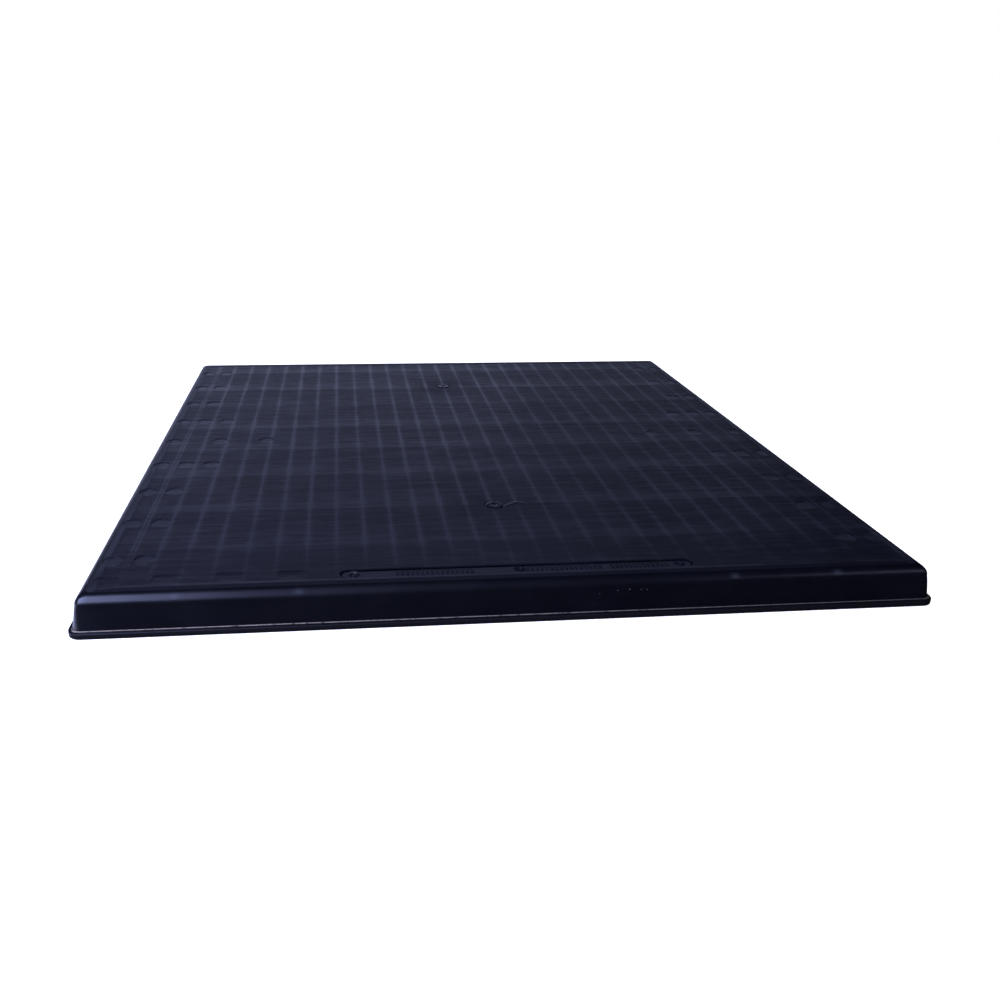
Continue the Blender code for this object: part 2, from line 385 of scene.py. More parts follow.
def band_sheen(finish):
    """The broad bands across the deck, each with a sharp front and a long tail to the rear."""
    bands = 0
    for place, strength in BANDS:
        from_band = finish.minus(finish.y, place)
        front = finish.spread(from_band, -BAND_FRONT, 0, 0, strength)
        rear = finish.fall(from_band, BAND_REAR, 2)
        bands = finish.plus(bands, finish.times(front, rear))
    return bands


def rib_line_sheen(finish, bands):
    """The long rib lines, brighter in the bands and fainter near the front, and the side lines and seam."""
    swell = finish.spread(finish.noise(0.035, 3.0, stretch=(1, 3, 1)), 0.3, 0.7, 0.90, 1.65)
    inner = finish.spread(finish.either_side(finish.x), LINES_END - 0.004, LINES_END, 1, 0)
    lines = finish.times(finish.cusp(finish.x, RIB_PITCH, LINE_TAIL), inner)
    for place in SIDE_LINES:
        side_line = finish.line_at(finish.x, place, SIDE_LINE_WIDTH)
        lines = finish.plus(lines, finish.times(side_line, SIDE_LINE_SHEEN))
    seam = finish.line_at(finish.x, SEAM, SEAM_WIDTH)
    lines = finish.minus(lines, finish.times(seam, SEAM_SHEEN))
    behind_front_line = finish.spread(finish.y, FRONT_LINE - 0.001, FRONT_LINE + 0.002, 0.4, 1)
    fading = finish.spread(finish.y, FRONT_LINE, FADE_REAR, 0.45, 1)
    lines = finish.times(finish.times(lines, swell), finish.times(behind_front_line, fading))
    return finish.times(lines, finish.spread(bands, 0, 1, 0.75, 1.5))


def gate_halo(finish, gate):
    """How much duller the deck is round a gate, in a halo that is wider from left to right."""
    centre = centre_of(gate)
    across = finish.times(finish.minus(finish.x, centre.x), 0.7)
    along = finish.minus(finish.y, centre.y)
    return finish.spread(finish.distance(across, along), GATE_HALO_INNER, GATE_HALO_OUTER, GATE_HALO_SHEEN, 0)


def deck_sheen(finish):
    """Where the matt deck shines more: rib lines, fine cross lines and broad bands, less round the gates."""
    bands = band_sheen(finish)
    sheen = finish.plus(rib_line_sheen(finish, bands), finish.times(bands, BAND_SHEEN))
    fine_lines = finish.line(finish.plus(finish.y, CROSS_RIBS_FORWARD), CROSS_RIB_PITCH / 2, FINE_LINE_WIDTH)
    fraying = finish.spread(finish.noise(0.02, 3.0, stretch=(2, 1, 1)), 0.35, 0.65)
    sheen = finish.plus(sheen, finish.times(fine_lines, finish.times(fraying, FINE_SHEEN)))
    for gate in (GATE_FRONT, GATE_REAR):
        sheen = finish.minus(sheen, gate_halo(finish, gate))
    front_line = finish.line_at(finish.y, FRONT_LINE, FRONT_LINE_WIDTH)
    sheen = finish.plus(sheen, finish.times(front_line, FRONT_LINE_SHEEN))
    drawn = finish.noise(0.005, 4.0, 0.6, stretch=(12, 1, 1))
    sheen = finish.plus(sheen, finish.spread(drawn, 0.3, 0.7, -STREAK_SHEEN, STREAK_SHEEN))
    recess_floor = finish.spread(finish.z, TOP - 0.00062, TOP - 0.00055, RECESS_SHEEN, 0)
    behind = finish.math("GREATER_THAN", finish.y, FRONT_LINE)
    sheen = finish.plus(sheen, finish.times(recess_floor, behind))
    return finish.math("MINIMUM", sheen, MOST_SHEEN)


def slot_edge(finish):
    """1 on the steep edge round the name strip's pocket, which looks black."""
    below_field = finish.math("LESS_THAN", finish.z, TOP - 0.00052)
    above_strip = finish.math("GREATER_THAN", finish.z, STRIP_HIGH.z + 0.00005)
    from_middle = finish.either_side(finish.minus(finish.x, STRIP_CENTRE.x))
    near = finish.math("LESS_THAN", from_middle, (STRIP_HIGH.x - STRIP_LOW.x) / 2 + 0.005)
    in_front = finish.math("LESS_THAN", finish.y, FRONT_LINE)
    return finish.times(finish.times(below_field, above_strip), finish.times(near, in_front))


def strip_finish():
    """The smooth plastic of the name strip, black, with painted shade along its far edge and its ends that
    stands in for the shaded wall of its pocket.
    """
    finish = Finish("strip_plastic", 0.42, 0.5)
    cloud = finish.noise(0.012, 3.0)
    from_middle = finish.either_side(finish.minus(finish.x, STRIP_CENTRE.x))
    half_width = (STRIP_HIGH.y - STRIP_LOW.y) / 2
    straight_half = STRIP_HIGH.x - STRIP_CENTRE.x - half_width
    beyond = finish.math("MAXIMUM", finish.minus(from_middle, straight_half), 0)
    across = finish.plus(finish.y, PAINTED_SHADE_FORWARD - STRIP_CENTRE.y)
    # Painted shade: a dark band along the strip's far edge and round ends, with less specular there
    painted_edge_shade = finish.spread(finish.distance(beyond, across), half_width - 0.0026, half_width - 0.0012)
    unshaded_tone = finish.blend(cloud, (0.0050, 0.0058, 0.0100), (0.0080, 0.0090, 0.0150))
    finish.colour(finish.blend(painted_edge_shade, unshaded_tone, (0.0004, 0.0005, 0.0012)))
    finish.specular(finish.spread(painted_edge_shade, 0, 1, 0.5, 0.03))
    finish.roughness(finish.spread(cloud, 0.3, 0.7, 0.38, 0.44))
    finish.bump((finish.noise(0.0010, 2.0), 0.00005))
    return finish.material


def gate_finish():
    """The shiny torn plastic of the gate stubs."""
    finish = Finish("gate_plastic", 0.26, 0.6)
    tears = finish.noise(0.003, 3.0)
    finish.colour(finish.blend(tears, (0.0015, 0.0020, 0.0050), (0.0060, 0.0070, 0.0120)))
    finish.roughness(finish.spread(tears, 0.3, 0.7, 0.20, 0.34))
    finish.bump((tears, 0.00010))
    return finish.material


def deck_finish():
    """Matt blue-black polypropylene, shinier along the ribs below it."""
    finish = Finish("deck_plastic", 0.45, 0.5)
    sheen = deck_sheen(finish)
    level = finish.math("MAXIMUM", finish.either_side(finish.x), finish.either_side(finish.y))
    inside = finish.spread(level, RIDGE_HALF - RIDGE_WIDTH, RIDGE_HALF, 1, 0)
    sheen = finish.times(sheen, inside)
    patches = finish.noise(0.11, 2.0)
    streaks = finish.noise(0.0015, 2.0, stretch=(5, 1, 1))
    grain = finish.noise(0.0010, 2.0)
    dark = finish.blend(finish.spread(patches, 0.3, 0.7), (0.0013, 0.0018, 0.0047), (0.0021, 0.0028, 0.0067))
    # Painted highlight: the deck's left and right rim, outside the ridge, is lightened in patches
    rim = finish.spread(finish.either_side(finish.x), RIDGE_HALF - 0.0010, RIDGE_HALF + 0.0010)
    painted_rim_highlight = finish.times(rim, finish.spread(finish.noise(0.05, 2.0), 0.3, 0.6, 0.3, 1.0))
    # Painted sheen: the sheen mask lightens the base colour as well as lowering the roughness
    plastic = finish.blend(sheen, dark, (0.0120, 0.0128, 0.0195))
    finish.colour(finish.blend(painted_rim_highlight, plastic, (0.0085, 0.0095, 0.0150)))
    worn = finish.spread(streaks, 0.25, 0.75, 0.42, 0.49)
    finish.specular(finish.spread(slot_edge(finish), 0, 1, 0.5, 0.05))
    finish.roughness(finish.minus(worn, finish.times(sheen, 0.13)))
    mottle = finish.noise(0.0022, 2.0)
    finish.bump((streaks, 0.00004), (grain, 0.00006), (mottle, 0.00006))
    return finish.material


def painted_bulge_highlights(finish):
    """1 on the front bend's bulges, where a painted highlight lightens the plastic."""
    marks = finish.line_at(finish.x, BULGES[0], BULGE_WIDTH)
    for place in BULGES[1:]:
        marks = finish.plus(marks, finish.line_at(finish.x, place, BULGE_WIDTH))
    front = finish.math("LESS_THAN", finish.y, -FIELD_HALF)
    on_bend = finish.line_at(finish.z, TOP - 0.0038, 0.0035)
    return finish.times(marks, finish.times(front, on_bend))


def skirt_finish():
    """The smoother, glossier plastic of the bend, the wall and the flange."""
    finish = Finish("skirt_plastic", 0.32, 0.45)
    patches = finish.noise(0.05, 3.0)
    grain = finish.noise(0.0009, 2.0)
    flange = finish.spread(finish.z, FLANGE_TOP - 0.0004, FLANGE_TOP + 0.0002, 1, 0)
    bulge_highlight = painted_bulge_highlights(finish)
    wall = finish.blend(patches, (0.0006, 0.0008, 0.0022), (0.0012, 0.0015, 0.0036))
    # Painted highlight: the bend is lighter on its bulges
    wall = finish.blend(bulge_highlight, wall, (0.010, 0.011, 0.017))
    finish.colour(finish.blend(flange, wall, (0.0016, 0.0016, 0.0026)))
    duller_above = finish.spread(finish.z, WALL_MIDDLE, TOP, 0, 0.04)
    gloss = finish.plus(finish.spread(patches, 0.3, 0.7, 0.30, 0.34), duller_above)
    finish.specular(finish.spread(flange, 0, 1, 0.45, 0.25))
    finish.roughness(finish.math("MAXIMUM", gloss, finish.times(flange, 0.60)))
    finish.bump((grain, 0.00002))
    return finish.material


def rib_finish():
    """The plain moulded plastic of the underside, duller and dustier towards the ground."""
    finish = Finish("rib_plastic", 0.5, 0.4)
    dust = finish.spread(finish.z, 0, 0.012, 0.7, 0.0)
    cloud = finish.noise(0.02, 4.0)
    grain = finish.noise(0.0012, 2.0)
    dusty = finish.times(dust, cloud)
    finish.colour(finish.blend(dusty, (0.0045, 0.0048, 0.0100), (0.030, 0.028, 0.028)))
    finish.roughness(finish.spread(cloud, 0.3, 0.7, 0.42, 0.60))
    finish.bump((grain, 0.00006))
    return finish.material


def bead_finish():
    """The pale dusty line along the foot of the wall."""
    finish = Finish("bead_plastic", 0.65, 0.3)
    breaks = finish.spread(finish.noise(0.005, 4.0, 0.65), 0.34, 0.50)
    specks = finish.noise(0.0012, 2.0)
    left = finish.blend(specks, (0.045, 0.039, 0.034), (0.24, 0.205, 0.175))
    right = finish.blend(specks, (0.010, 0.009, 0.009), (0.060, 0.053, 0.047))
    pale = finish.blend(finish.spread(finish.x, -FOOT_HALF, FOOT_HALF), left, right)
    finish.colour(finish.blend(breaks, (0.020, 0.019, 0.022), pale))
    finish.roughness(finish.spread(specks, 0.3, 0.7, 0.55, 0.75))
    finish.bump((specks, 0.00012))
    return finish.material


def floor_finish():
    """The white studio floor, which glows a little so that it stays white."""
    finish = Finish("floor", 0.8, 0.2)
    cloud = finish.noise(0.6, 2.0)
    finish.colour(finish.blend(cloud, (0.86, 0.86, 0.87), (0.90, 0.90, 0.90)))
    finish.glow((1, 1, 1), 0.6)
    return finish.material


# ---------------------------------------------------------------- the deck

GRID_STEP = RIB_PITCH / 10
RIM_START = 13.5 * RIB_PITCH
RIM_STEPS = 9
CUT_ABOVE = 0.002
LIP_WIDTH = 0.0008
LIP_DEPTH = 0.0002


def grid_places():
    """Places along one side of the deck, closer together over the rim."""
    inner = np.arange(-RIM_START, RIM_START + GRID_STEP / 2, GRID_STEP)
    rim = np.linspace(RIM_START, FIELD_HALF, RIM_STEPS + 1)[1:]
    return np.concatenate([-rim[::-1], inner, rim])


def rounded_places(x, y):
    """Moves the points of the square grid's corners into the deck's round corners."""
    arc_centre = FIELD_HALF - SMALLEST_CORNER_RADIUS
    u = np.maximum(np.abs(x) - arc_centre, 0) / SMALLEST_CORNER_RADIUS
    v = np.maximum(np.abs(y) - arc_centre, 0) / SMALLEST_CORNER_RADIUS
    new_x = np.where(u > 0, arc_centre + SMALLEST_CORNER_RADIUS * u * np.sqrt(1 - v * v / 2), np.abs(x))
    new_y = np.where(v > 0, arc_centre + SMALLEST_CORNER_RADIUS * v * np.sqrt(1 - u * u / 2), np.abs(y))
    return np.copysign(new_x, x), np.copysign(new_y, y)


def deck_block(material):
    """The deck as a closed block: a fine uneven top on plain sides and a flat underside."""
    places = grid_places()
    steps = len(places) - 1
    mesh = bmesh.new()
    bmesh.ops.create_grid(mesh, x_segments=steps, y_segments=steps, size=1)
    rim = [edge for edge in mesh.edges if edge.is_boundary]
    lower = bmesh.ops.extrude_edge_only(mesh, edges=rim)["geom"]
    lower_points = [item for item in lower if isinstance(item, bmesh.types.BMVert)]
    bmesh.ops.translate(mesh, verts=lower_points, vec=(0, 0, -1))
    bmesh.ops.holes_fill(mesh, edges=[edge for edge in mesh.edges if edge.is_boundary], sides=0)
    data = mesh_data("deck_skin", mesh, material)
    points = np.empty(len(data.vertices) * 3)
    data.vertices.foreach_get("co", points)
    points = points.reshape(-1, 3)
    columns = np.rint((points[:, 0] + 1) / 2 * steps).astype(int)
    rows = np.rint((points[:, 1] + 1) / 2 * steps).astype(int)
    x, y = rounded_places(places[columns], places[rows])
    z = np.where(points[:, 2] < -0.5, UNDERSIDE, TOP - deck_depth(x, y))
    data.vertices.foreach_set("co", np.column_stack([x, y, z]).ravel())
    data.update()
    return data


def ring_of(mesh, x, y, z, radius_x, radius_y, sides, squareness=2.0):
    """A loop of points round a superellipse: a circle at squareness 2, boxier above it."""
    loop = []
    for side in range(sides):
        angle = 2 * math.pi * side / sides
        across, along = math.cos(angle), math.sin(angle)
        reach = (abs(across) ** squareness + abs(along) ** squareness) ** (-1 / squareness)
        loop.append(mesh.verts.new((x + radius_x * reach * across, y + radius_y * reach * along, z)))
    return loop


def join_rings(mesh, rings):
    """Quads between neighbouring loops and a cap on each end, closing the shape."""
    for lower, upper in zip(rings, rings[1:]):
        for side in range(len(lower)):
            following = (side + 1) % len(lower)
            mesh.faces.new((lower[side], lower[following], upper[following], upper[side]))
    mesh.faces.new(rings[0])
    mesh.faces.new(rings[-1])


def add_dish(mesh, x, y, half_x, half_y, wall, bowl, squareness=2.0):
    """A cutter for a dished recess: a bowl-shaped floor, an upright wall and a wide shallow lip."""
    floor = TOP - FIELD_DEPTH - LIP_DEPTH - wall
    profile = [(share, floor - bowl * (1 - share * share)) for share in (0.15, 0.4, 0.65, 0.85, 1.0)]
    profile.append((1.0, TOP - FIELD_DEPTH - LIP_DEPTH))
    rings = [ring_of(mesh, x, y, z, half_x * share, half_y * share, 48, squareness) for share, z in profile]
    for z, grow in ((TOP - FIELD_DEPTH, LIP_WIDTH), (TOP + CUT_ABOVE, LIP_WIDTH + CUT_ABOVE)):
        rings.append(ring_of(mesh, x, y, z, half_x + grow, half_y + grow, 48, squareness))
    join_rings(mesh, rings)


def add_scratch(mesh, ends, width, depth):
    """A cutter for a shallow groove that narrows to a point at both ends."""
    start, end = (Vector((*place, 0)) for place in ends)
    turn = Matrix.Rotation(math.atan2(end.y - start.y, end.x - start.x), 3, "Z")
    half_length = (end - start).length / 2
    rings = []
    for z, share in ((TOP - depth, 0.5), (TOP + CUT_ABOVE, 1.0)):
        ring = ring_of(mesh, 0, 0, z, half_length, width / 2 * share, 24)
        for point in ring:
            point.co = turn @ point.co + (start + end) / 2
        rings.append(ring)
    join_rings(mesh, rings)


def recess_columns(row):
    """How far out the recesses of one row sit. The row over the middle is laid out differently."""
    if row == 0:
        return (OUTER_COLUMN, THIRD_COLUMN, INNER_COLUMN)
    if abs(row) == 1:
        return (OUTER_COLUMN, SECOND_COLUMN, THIRD_COLUMN)
    return (OUTER_COLUMN, SECOND_COLUMN)


def recess_places():
    for row in RECESS_ROWS:
        y = row * RECESS_ROW_PITCH + RECESS_REARWARD
        for column in recess_columns(row):
            yield from ((-column, y), (column, y))


FRONT_BAYS = (-0.3630, -0.2995, -0.2365)
BAY_ROW_Y = -0.415
BAY_HALF_LENGTH = 0.0143
BAY_HALF_WIDTH = 0.0089
BAY_WALL = 0.00020
BAY_BOWL = 0.00045
CORNER_DISH = (0.4226, -0.4188)
CORNER_DISH_HALF = 0.0130
CORNER_DISH_WALL = 0.00035
CORNER_DISH_BOWL = 0.00050
GATE_WELL_MARGIN = 0.0022
GATE_WELL_WALL = 0.00110
GATE_WELL_BOWL = 0.00010
SLOT_MARGIN = 0.0003
SCRATCH = ((0.0460, -0.2420), (0.0640, -0.2310))
SCRATCH_WIDTH = 0.0012
SCRATCH_DEPTH = 0.0006


def deck_cutters(material):
    """Every hollow but the slot: recesses, front bays, corner dishes, a scratch and gate wells."""
    mesh = bmesh.new()
    for x, y in recess_places():
        add_dish(mesh, x, y, RECESS_RADIUS, RECESS_RADIUS, RECESS_WALL, RECESS_BOWL)
    for bay in FRONT_BAYS:
        add_dish(mesh, bay, BAY_ROW_Y, BAY_HALF_LENGTH, BAY_HALF_WIDTH, BAY_WALL, BAY_BOWL, 5.0)
    x, y = CORNER_DISH
    half = CORNER_DISH_HALF
    for side in (-1, 1):
        add_dish(mesh, side * x, y, half, half, CORNER_DISH_WALL, CORNER_DISH_BOWL, 3.0)
    add_scratch(mesh, SCRATCH, SCRATCH_WIDTH, SCRATCH_DEPTH)
    for gate in (GATE_FRONT, GATE_REAR):
        centre = centre_of(gate)
        half = (gate[1].x - gate[0].x) / 2 + GATE_WELL_MARGIN
        add_dish(mesh, centre.x, centre.y, half, half, GATE_WELL_WALL, GATE_WELL_BOWL)
    return mesh_data("deck_cutters", mesh, material)


def slot_cutter(material):
    """The round-ended pocket of the name strip."""
    mesh = bmesh.new()
    half_length = (STRIP_HIGH.x - STRIP_LOW.x) / 2 + SLOT_MARGIN
    half_width = (STRIP_HIGH.y - STRIP_LOW.y) / 2 + SLOT_MARGIN
    lip = TOP - FIELD_DEPTH
    rings = []
    for z, grow in (
        (STRIP_LOW.z - SLOT_MARGIN, 0),
        (lip - 0.0008, 0),
        (lip - 0.0002, 0.0007),
        (lip + 0.0001, 0.0022),
        (TOP + CUT_ABOVE, 0.0040),
    ):
        loop = ring_of(mesh, 0, 0, z, half_width + grow, half_width + grow, 48)
        for point in loop:
            point.co.x += STRIP_CENTRE.x + math.copysign(half_length - half_width, point.co.x)
            point.co.y += STRIP_CENTRE.y
        rings.append(loop)
    join_rings(mesh, rings)
    return mesh_data("slot_cutter", mesh, material)


def make_deck(material):
    """The deck's skin: the block with its hollows cut and the slot for the name strip."""
    block = deck_block(material)
    block = applied(block, deck_cutters(material), "DIFFERENCE")
    block = applied(block, slot_cutter(material), "DIFFERENCE")
    block.shade_smooth()
    block.set_sharp_from_angle(angle=math.radians(30))
    return add_piece("deck_skin", block, "deck_plastic", "deck_panel")


# ---------------------------------------------------------------- skirt, flange and bead

SIDE_STEPS = 150
CORNER_STEPS = 8
BEND_STEPS = 12
WALL_STEPS = 5
WAVE_DEPTH = 0.00025
EDGE_OVERLAP = 0.00005
ROUND_OVER = 0.0012
ROUND_OVER_STEPS = 5


def corner_radius(half):
    return max(SMALLEST_CORNER_RADIUS, FLANGE_CORNER_RADIUS - (FLANGE_HALF - half))


def square_path(half):
    """Places round a round-cornered square, with the direction that points outwards at each."""
    radius = corner_radius(half)
    arc_centre = half - radius
    for quarter in range(4):
        turn = Matrix.Rotation(quarter * math.pi / 2, 3, "Z")
        for step in range(SIDE_STEPS):
            along = (2 * step / SIDE_STEPS - 1) * arc_centre
            yield turn @ Vector((half, along, 0)), turn @ Vector((1, 0, 0))
        for step in range(CORNER_STEPS):
            angle = step / CORNER_STEPS * math.pi / 2
            out = Vector((math.cos(angle), math.sin(angle), 0))
            yield turn @ (Vector((arc_centre, arc_centre, 0)) + out * radius), turn @ out


def loft_square(section, shape=None):
    """A closed section of (distance from centre, height) points, run round the square.

    shape(point, out, index) may move each point of the loop with that index.
    """
    mesh = bmesh.new()
    levels = []
    for index, (half, height) in enumerate(section):
        level = []
        for place, out in square_path(half):
            point = place + Vector((0, 0, height))
            level.append(mesh.verts.new(shape(point, out, index) if shape else point))
        levels.append(level)
    for lower, upper in zip(levels, levels[1:] + levels[:1]):
        for step in range(len(lower)):
            following = (step + 1) % len(lower)
            mesh.faces.new((lower[step], lower[following], upper[following], upper[step]))
    return mesh


def skirt_section():
    """Foot to deck on the outside, then deck to foot on the inside."""
    shoulder = FIELD_HALF + BEND_RADIUS
    bend_low = TOP - EDGE_DROP - BEND_RADIUS
    outer = []
    for step in range(WALL_STEPS):
        share = step / WALL_STEPS
        outer.append((FOOT_HALF + (shoulder - FOOT_HALF) * share, WALL_FOOT + (bend_low - WALL_FOOT) * share))
    for step in range(BEND_STEPS + 1):
        angle = step / BEND_STEPS * math.pi / 2
        outer.append((FIELD_HALF + BEND_RADIUS * math.cos(angle), bend_low + BEND_RADIUS * math.sin(angle)))
    outer[-1] = (FIELD_HALF + EDGE_OVERLAP, TOP - EDGE_DROP)
    inner_radius = BEND_RADIUS - WALL_THICKNESS
    inner = []
    for step in range(BEND_STEPS, -1, -2):
        angle = step / BEND_STEPS * math.pi / 2
        inner.append((FIELD_HALF + inner_radius * math.cos(angle), bend_low + inner_radius * math.sin(angle)))
    inner[0] = (FIELD_HALF + EDGE_OVERLAP, UNDERSIDE)
    inner.append((FOOT_HALF - WALL_THICKNESS, WALL_FOOT))
    return outer, inner


def make_skirt(material):
    """The bend and the wall, softly uneven, with the bulges of the front bend."""
    outer, inner = skirt_section()
    outer_count = len(outer)

    def shape(point, out, index):
        """Draws the outer face in a little by soft waves, except where the wall bulges."""
        if index in (0, outer_count - 1) or index >= outer_count:
            return point
        wave = 0.5 + 0.5 * noise.noise(point / 0.045)
        bulge = 0
        if out.y < -0.99:
            bulge = max(math.exp(-(((point.x - place) / BULGE_WIDTH) ** 2)) for place in BULGES)
        return point - out * WAVE_DEPTH * wave * (1 - bulge)

    mesh = loft_square(outer + inner, shape)
    return add_piece("skirt_skin", mesh_data("skirt_skin", mesh, material), "skirt_plastic", "rim_skirt")


def make_flange(material):
    """The ground flange, with rounded edges and softly uneven sides."""
    inner = FOOT_HALF - WALL_THICKNESS
    step_degrees = 90 / (ROUND_OVER_STEPS - 1)
    section = [(inner, 0)]
    for centre_z, first in ((ROUND_OVER, -90), (FLANGE_TOP - ROUND_OVER, 0)):
        for step in range(ROUND_OVER_STEPS):
            angle = math.radians(first + step * step_degrees)
            half = FLANGE_HALF - ROUND_OVER + ROUND_OVER * math.cos(angle)
            section.append((half, centre_z + ROUND_OVER * math.sin(angle)))
    section.append((FOOT_HALF + 0.0015, FLANGE_TOP))
    section.append((inner, FLANGE_TOP))
    last_outer = 2 * ROUND_OVER_STEPS

    def shape(point, out, index):
        if not 1 < index <= last_outer:
            return point
        wave = 0.5 + 0.5 * noise.noise(point / 0.03)
        return point - out * WAVE_DEPTH * wave

    mesh = loft_square(section, shape)
    data = mesh_data("flange_skin", mesh, material)
    return add_piece("flange_skin", data, "skirt_plastic", "base_flange")


def make_bead(material):
    """A thin ragged bead in the corner of wall and flange."""
    low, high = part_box("foot_bead")
    inner = FOOT_HALF + 0.00015
    width = high.x - inner
    height = high.z - low.z
    section = [
        (inner, low.z),
        (inner + width, low.z),
        (inner + width * 0.8, low.z + height * 0.6),
        (inner + width * 0.4, low.z + height),
        (inner, low.z + height),
    ]

    def shape(point, out, index):
        if index in (0, 4):
            return point
        thin = 0.32 + 0.36 * abs(noise.noise(point / 0.006)) ** 0.5
        root = point - out * (max(abs(point.x), abs(point.y)) - inner)
        moved = root.lerp(point, thin)
        moved.z = low.z + (point.z - low.z) * thin
        return moved

    mesh = loft_square(section, shape)
    return add_piece("bead_skin", mesh_data("bead_skin", mesh, material), "bead_plastic", "foot_bead")


# ---------------------------------------------------------------- strip, studs and gates

BAR_GROUPS = ((-0.127, -0.048), (0.011, 0.090), (0.103, 0.163))
BAR_PITCH = 0.0048
BAR_LENGTH = 0.0104
BAR_WIDTH = 0.0026
BAR_HEIGHT = 0.0009
STUD_HOLE = 0.0030
STUD_HOLE_DEPTH = 0.0010


def add_bar(mesh, x, y, bottom, length, width, height):
    """A small raised bar with drawn-in sides."""
    rings = []
    for z, share in ((bottom, 1.0), (bottom + height, 0.8)):
        rings.append(ring_of(mesh, x, y, z, width / 2 * share, length / 2 * share, 12, 6.0))
    join_rings(mesh, rings)


def make_strip_bars(material):
    """Plain upright bars on the strip, where lettering would be."""
    mesh = bmesh.new()
    for first, last in BAR_GROUPS:
        count = round((last - first) / BAR_PITCH)
        for index in range(count):
            x = first + (last - first) * index / (count - 1)
            add_bar(mesh, x, STRIP_CENTRE.y, STRIP_HIGH.z, BAR_LENGTH, BAR_WIDTH, BAR_HEIGHT)
    return add_piece("strip_bars", mesh_data("strip_bars", mesh, material), "deck_plastic")


def turned(mesh, x, y, profile, sides, wobble=0.0, seed=0.0):
    """A turned shape through (radius, height) points, from its middle outwards and down."""
    rings = []
    for radius, z in profile:
        ring = ring_of(mesh, x, y, z, radius, radius, sides)
        for point in ring:
            out = point.co - Vector((x, y, z))
            swing = noise.noise(out.normalized() * 1.5 + Vector((0, 0, seed)))
            point.co += out * wobble * swing
        rings.append(ring)
    join_rings(mesh, rings)


def make_stud(side, material, hole_depth):
    """A round head with a dimple in its middle, deeper or shallower."""
    node = f"strip_stud_{side}"
    low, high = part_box(node)
    centre = centre_of((low, high))
    radius = (high.x - low.x) / 2
    floor = high.z - hole_depth
    profile = [
        (STUD_HOLE * 0.1, floor),
        (STUD_HOLE * 0.45, floor - 0.00015),
        (STUD_HOLE * 0.75, floor - 0.00045),
        (STUD_HOLE * 0.95, high.z - 0.0014),
        (STUD_HOLE, high.z - 0.0003),
        (STUD_HOLE + 0.0003, high.z),
        (radius - 0.0005, high.z),
        (radius - 0.0001, high.z - 0.00015),
        (radius, high.z - 0.0004),
        (radius, low.z),
    ]
    mesh = bmesh.new()
    turned(mesh, centre.x, centre.y, profile, 48)
    return add_piece(f"stud_{side}", mesh_data(f"stud_{side}", mesh, material), "deck_plastic", node)


def make_gate_stub(name, node, material, seed):
    """The torn stub left by a gate: an uneven button with a dimple in its middle."""
    low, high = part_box(node)
    centre = centre_of((low, high))
    radius = (high.x - low.x) / 2
    top = TOP - 0.00005
    profile = [
        (radius * 0.06, top - 0.0009),
        (radius * 0.18, top - 0.0008),
        (radius * 0.26, top - 0.0004),
        (radius * 0.34, top - 0.0001),
        (radius * 0.55, top - 0.0002),
        (radius * 0.78, top - 0.00005),
        (radius * 0.92, top - 0.0002),
        (radius * 0.98, top - 0.0006),
        (radius * 0.96, low.z),
    ]
    mesh = bmesh.new()
    turned(mesh, centre.x, centre.y, profile, 64, 0.05, seed)
    return add_piece(name, mesh_data(name, mesh, material, 50), "deck_plastic", node)


SMEAR_LUMPS = (
    (0.0168, -0.2556, 0.0034),
    (0.0208, -0.2532, 0.0038),
    (0.0252, -0.2503, 0.0040),
    (0.0296, -0.2468, 0.0044),
    (0.0338, -0.2450, 0.0042),
    (0.0380, -0.2474, 0.0034),
    (0.0416, -0.2484, 0.0026),
)


def make_smear(material):
    """Flattened lumps of plastic that were smeared beside the front gate."""
    mesh = bmesh.new()
    for x, y, reach in SMEAR_LUMPS:
        shares = (0.1, 0.4, 0.7, 0.9)
        profile = [(reach * share, TOP - 0.00008 - 0.0005 * share * share) for share in shares]
        profile.append((reach, TOP - 0.0012))
        turned(mesh, x, y, profile, 24, 0.5, x * 100)
    return add_piece("gate_smear", mesh_data("gate_smear", mesh, material, 60), "deck_plastic")


DECK_SPECKS = ((-0.0206, -0.2090, 0.0007), (-0.0205, -0.2915, 0.0004), (-0.0490, -0.2560, 0.0004))
WALL_SPECKS = (
    (0.0820, 0.0262, 0.0004),
    (0.1010, 0.0290, 0.0005),
    (0.1140, 0.0300, 0.0007),
    (0.1265, 0.0292, 0.0005),
    (0.1330, 0.0287, 0.0005),
)


def make_specks(material):
    """Grains of pale dust on the deck and on the wall below the name strip."""
    mesh = bmesh.new()
    shoulder = FIELD_HALF + BEND_RADIUS
    lean = (FOOT_HALF - shoulder) / (TOP - EDGE_DROP - BEND_RADIUS - WALL_FOOT)
    for x, y, size in DECK_SPECKS:
        add_speck(mesh, (x, y, TOP - size), size)
    for x, z, size in WALL_SPECKS:
        add_speck(mesh, (x, -(FOOT_HALF - lean * (z - WALL_FOOT)), z), size)
    return add_piece("dust_specks", mesh_data("dust_specks", mesh, material), "bead_plastic")


def add_speck(mesh, place, size):
    bmesh.ops.create_icosphere(mesh, subdivisions=1, radius=size, matrix=Matrix.Translation(place))


# ---------------------------------------------------------------- camera, floor and light

CAMERA_PLACE = (-0.17782, -1.20654, 0.47043)
CAMERA_YAW = 6.103
CAMERA_PITCH = 23.583
CAMERA_ROLL = 0.958
CAMERA_LENS = 30.861
CAMERA_SHIFT = 0.0694


